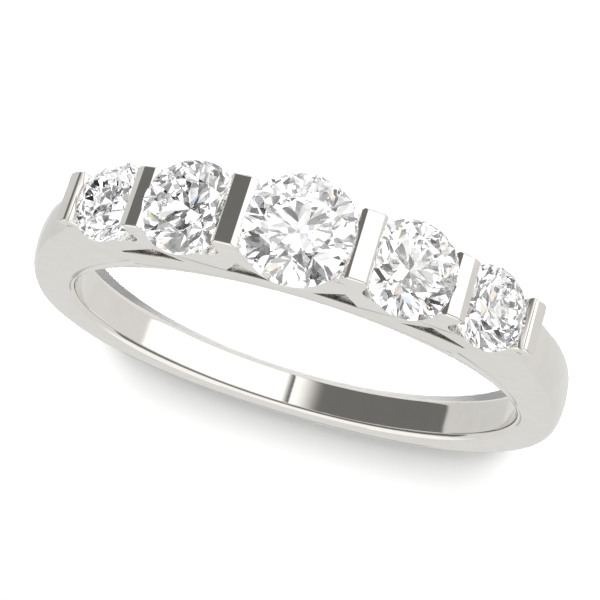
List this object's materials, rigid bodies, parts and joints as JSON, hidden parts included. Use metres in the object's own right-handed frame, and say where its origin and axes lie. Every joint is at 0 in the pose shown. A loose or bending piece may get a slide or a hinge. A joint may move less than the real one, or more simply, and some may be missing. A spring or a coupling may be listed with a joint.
{
  "type": "bar set band ring",
  "caption": "Finger ring with a domed band and a row of round stones held between crosswise bars.",
  "frame": {"origin": "centre of the finger hole, half way through the band's width", "axes": "+Z along the finger's axis, -Y towards the middle stone, X across; the ring lies on its side, floor below"},
  "size_m": [0.0206, 0.0239, 0.0036],
  "materials": {
    "metal": "polished white gold",
    "stone": "clear faceted"
  },
  "bodies": {
    "root": {"band": "metal", "stone_center": "stone", "stone_inner_left": "stone", "stone_inner_right": "stone", "stone_outer_left": "stone", "stone_outer_right": "stone"}
  },
  "joints": []
}
